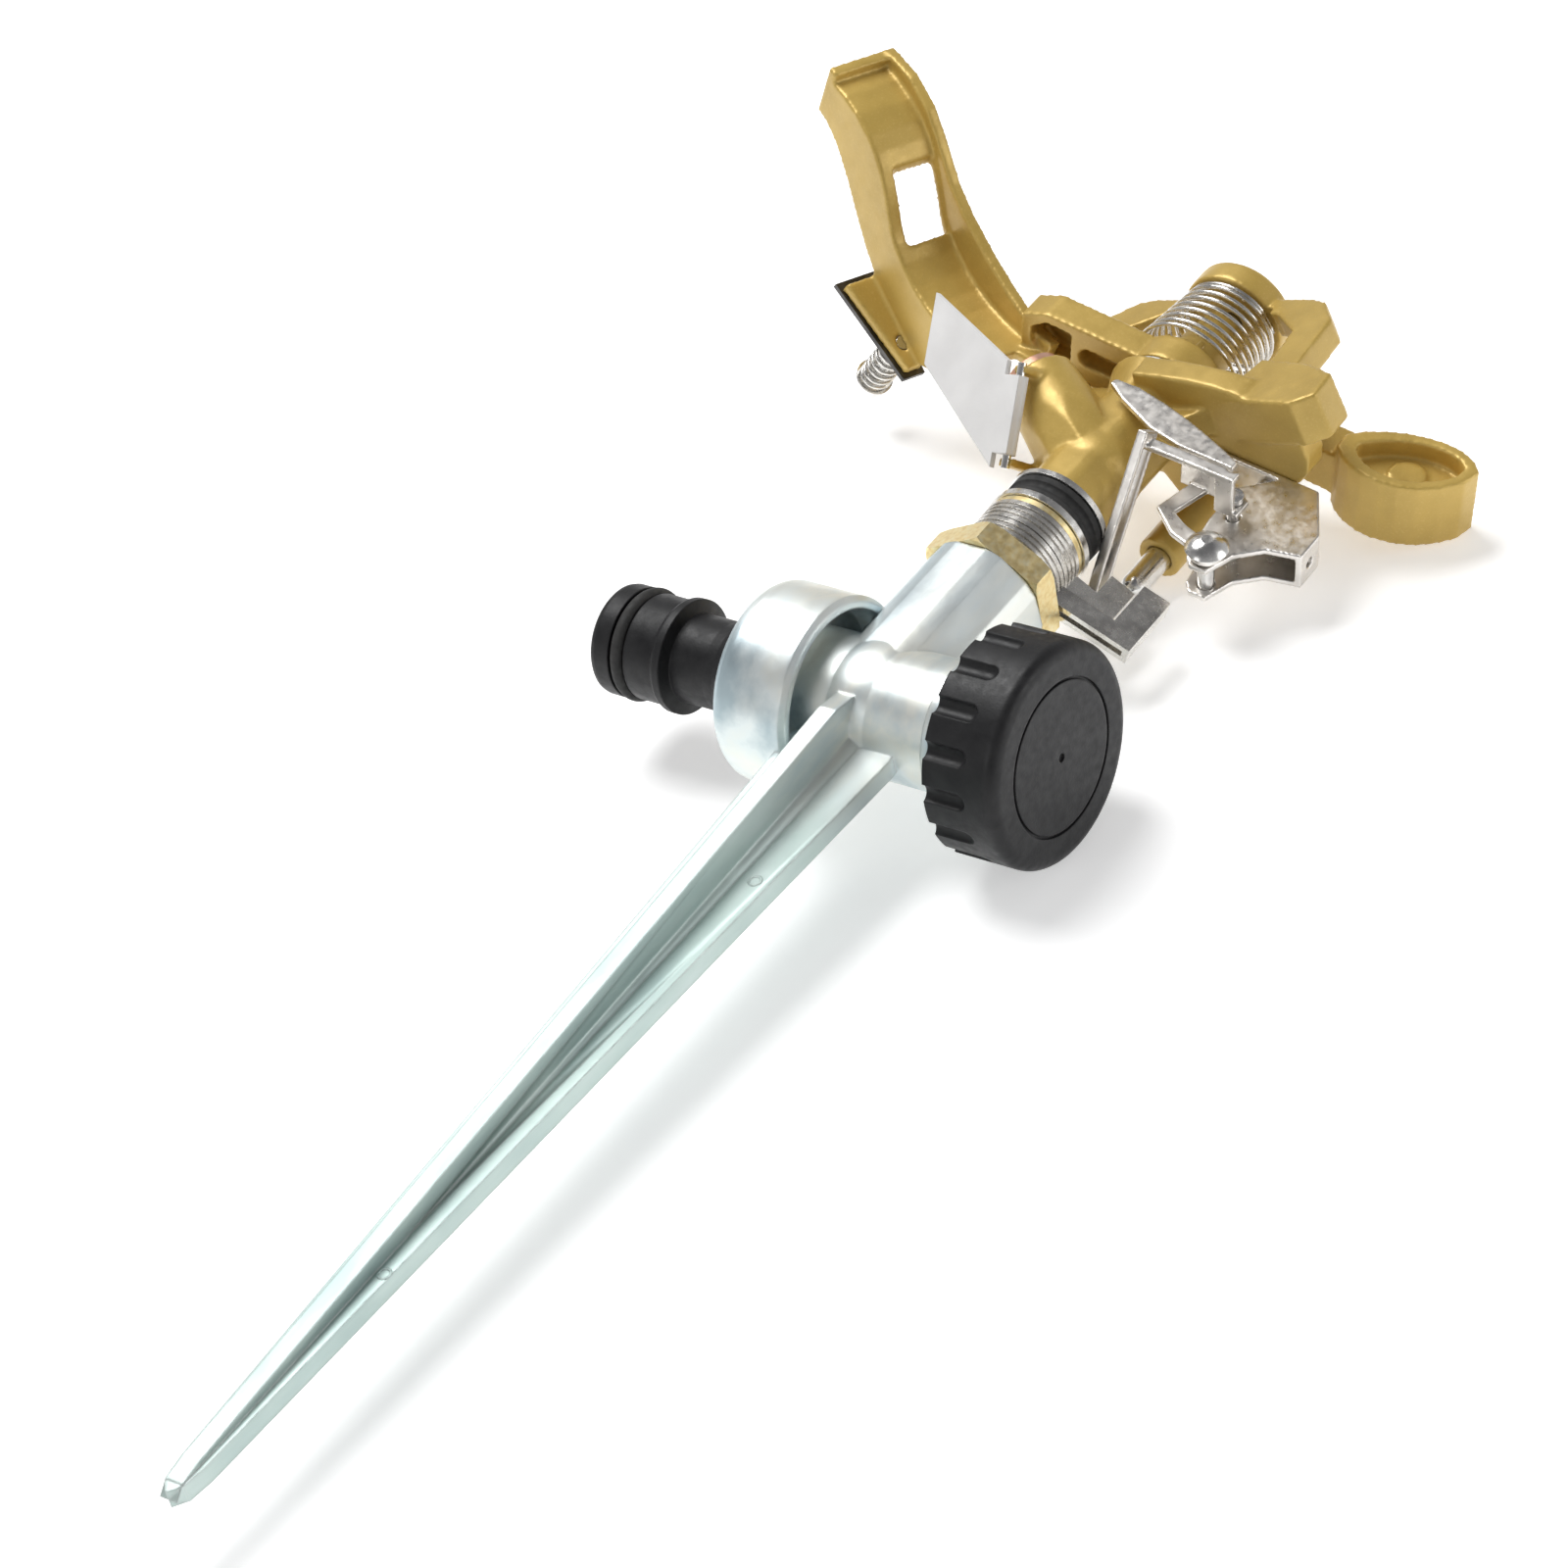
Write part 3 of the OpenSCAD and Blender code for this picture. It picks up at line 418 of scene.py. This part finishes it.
def ejector_marks(looks):
    """The small rings that the mould's pins leave on one fin of the spike."""
    rim = [(0.7 * MM, -0.2 * MM), (1.15 * MM, -0.2 * MM), (1.15 * MM, 0.06 * MM), (1.05 * MM, 0.12 * MM),
           (0.8 * MM, 0.12 * MM), (0.7 * MM, 0.06 * MM)]
    for number, (x, z) in enumerate(MARK_PLACES):
        place = Matrix.Translation((x, -FIN_HALF, z)) @ Matrix.Rotation(math.pi / 2, 4, "X")
        vertices, faces = lathe_mesh(rim, place, 32)
        make_piece(f"ejector_mark_{number}", vertices, faces, "base", "zinc_plate", looks)


def soften_skins():
    """Rounds the corners of the cast and pressed pieces and fills their inner corners, as the tools do."""
    for name, (voxel, rounds) in SOFT_SKINS.items():
        node = frame["nodes"][name]
        remesh = node.modifiers.new("skin", "REMESH")
        remesh.mode = "VOXEL"
        remesh.voxel_size = voxel
        remesh.use_smooth_shade = True
        smooth = node.modifiers.new("fillets", "SMOOTH")
        smooth.factor = 0.5
        smooth.iterations = rounds


def smooth_frame():
    """Shades every CAD node smoothly except across real corners."""
    for name, node in frame["nodes"].items():
        if name in SOFT_SKINS:
            continue
        node.data.polygons.foreach_set("use_smooth", [True] * len(node.data.polygons))


# ---- stage ----

def white_sheet():
    """The white sheet the sprinkler lies on. It is clear from behind, so that it hides nothing."""
    low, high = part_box("outlet_cap")
    half = SHEET_SIZE / 2
    mesh = bpy.data.meshes.new("white_sheet")
    sheet_corners = [(-half, 0, -half), (half, 0, -half), (half, 0, half), (-half, 0, half)]
    mesh.from_pydata(sheet_corners, [], [(0, 1, 2, 3)])
    sheet = bpy.data.objects.new("white_sheet", mesh)
    bpy.context.scene.collection.objects.link(sheet)
    touch = Vector((low.x, high.y + 0.3 * MM, (low.z + high.z) / 2))
    sheet.matrix_world = Matrix.Translation(touch) @ Matrix.Rotation(-SHEET_TILT, 4, "X")
    material = bpy.data.materials.new("white_sheet")
    material.use_nodes = True
    tree = material.node_tree
    shader = tree.nodes["Principled BSDF"]
    shader.inputs["Base Color"].default_value = (0.9, 0.9, 0.9, 1)
    shader.inputs["Roughness"].default_value = 0.8
    shader.inputs["Emission Color"].default_value = (1, 1, 1, 1)
    shader.inputs["Emission Strength"].default_value = 0.42
    clear = tree.nodes.new("ShaderNodeBsdfTransparent")
    side = tree.nodes.new("ShaderNodeNewGeometry")
    mix = tree.nodes.new("ShaderNodeMixShader")
    tree.links.new(side.outputs["Backfacing"], mix.inputs["Fac"])
    tree.links.new(shader.outputs["BSDF"], mix.inputs[1])
    tree.links.new(clear.outputs["BSDF"], mix.inputs[2])
    tree.links.new(mix.outputs["Shader"], tree.nodes["Material Output"].inputs["Surface"])
    mesh.materials.append(material)
    sheet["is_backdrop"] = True


def soft_light(name, place, target, size, power):
    data = bpy.data.lights.new(name, "AREA")
    data.shape = "DISK"
    data.size = size
    data.energy = power
    light = bpy.data.objects.new(name, data)
    bpy.context.scene.collection.objects.link(light)
    light.location = place
    light.rotation_euler = (target - place).to_track_quat("-Z", "Y").to_euler()


def studio():
    """Soft lights over the sheet, inside a pale surround."""
    low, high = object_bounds()
    centre = (Vector(low) + Vector(high)) / 2
    soft_light("key", centre + CAMERA_UP * 0.85 + CAMERA_BACK * 0.2 - CAMERA_RIGHT * 0.35, centre, 0.6, 8)
    soft_light("side", centre + CAMERA_RIGHT * 0.9 + CAMERA_BACK * 0.45 + CAMERA_UP * 0.2, centre, 0.5, 2)
    soft_light("low", centre - CAMERA_RIGHT * 0.7 + CAMERA_BACK * 0.7 - CAMERA_UP * 0.15, centre, 0.5, 1.2)
    surround()


def surround():
    """A pale surround that darkens in front of the sheet, for the metals to reflect.

    The camera sees it white.
    """
    world = bpy.data.worlds.new("studio")
    world.use_nodes = True
    bpy.context.scene.world = world
    tree = world.node_tree
    background = tree.nodes["Background"]
    background.inputs["Strength"].default_value = 0.5
    direction = tree.nodes.new("ShaderNodeTexCoord")
    split = tree.nodes.new("ShaderNodeSeparateXYZ")
    tree.links.new(direction.outputs["Generated"], split.inputs["Vector"])
    flip = tree.nodes.new("ShaderNodeMath")
    flip.operation = "MULTIPLY"
    flip.inputs[1].default_value = -1
    tree.links.new(split.outputs["Y"], flip.inputs[0])
    ramp = tree.nodes.new("ShaderNodeValToRGB")
    tree.links.new(flip.outputs["Value"], ramp.inputs["Fac"])
    pale, dim = ramp.color_ramp.elements
    pale.position = 0.25
    pale.color = (0.95, 0.95, 0.95, 1)
    dim.position = 0.85
    dim.color = (0.28, 0.28, 0.29, 1)
    tree.links.new(ramp.outputs["Color"], background.inputs["Color"])
    white = tree.nodes.new("ShaderNodeBackground")
    white.inputs["Color"].default_value = (1, 1, 1, 1)
    path = tree.nodes.new("ShaderNodeLightPath")
    mix = tree.nodes.new("ShaderNodeMixShader")
    tree.links.new(path.outputs["Is Camera Ray"], mix.inputs["Fac"])
    tree.links.new(background.outputs["Background"], mix.inputs[1])
    tree.links.new(white.outputs["Background"], mix.inputs[2])
    tree.links.new(mix.outputs["Shader"], tree.nodes["World Output"].inputs["Surface"])


def camera():
    data = bpy.data.cameras.new("camera")
    data.lens = LENS_MM
    data.sensor_width = SENSOR_MM
    data.clip_start = 0.01
    view = bpy.data.objects.new("camera", data)
    bpy.context.scene.collection.objects.link(view)
    turn = Matrix((CAMERA_RIGHT, CAMERA_UP, CAMERA_BACK)).transposed().to_4x4()
    view.matrix_world = Matrix.Translation(CAMERA_PLACE) @ turn
    bpy.context.scene.camera = view


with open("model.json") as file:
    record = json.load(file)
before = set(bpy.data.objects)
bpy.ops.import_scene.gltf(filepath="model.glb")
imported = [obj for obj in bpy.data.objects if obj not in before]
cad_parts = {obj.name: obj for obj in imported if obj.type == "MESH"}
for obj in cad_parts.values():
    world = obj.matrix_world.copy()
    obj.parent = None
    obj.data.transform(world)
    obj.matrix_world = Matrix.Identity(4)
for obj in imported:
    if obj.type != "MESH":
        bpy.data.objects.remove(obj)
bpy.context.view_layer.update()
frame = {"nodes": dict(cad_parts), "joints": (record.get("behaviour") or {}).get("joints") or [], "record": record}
camera()
all_looks = make_looks()
dress_frame(all_looks)
smooth_frame()
soften_skins()
arm_spring(all_looks)
ledge_spring(all_looks)
ejector_marks(all_looks)
white_sheet()
studio()
bpy.context.scene.view_settings.view_transform = "Standard"
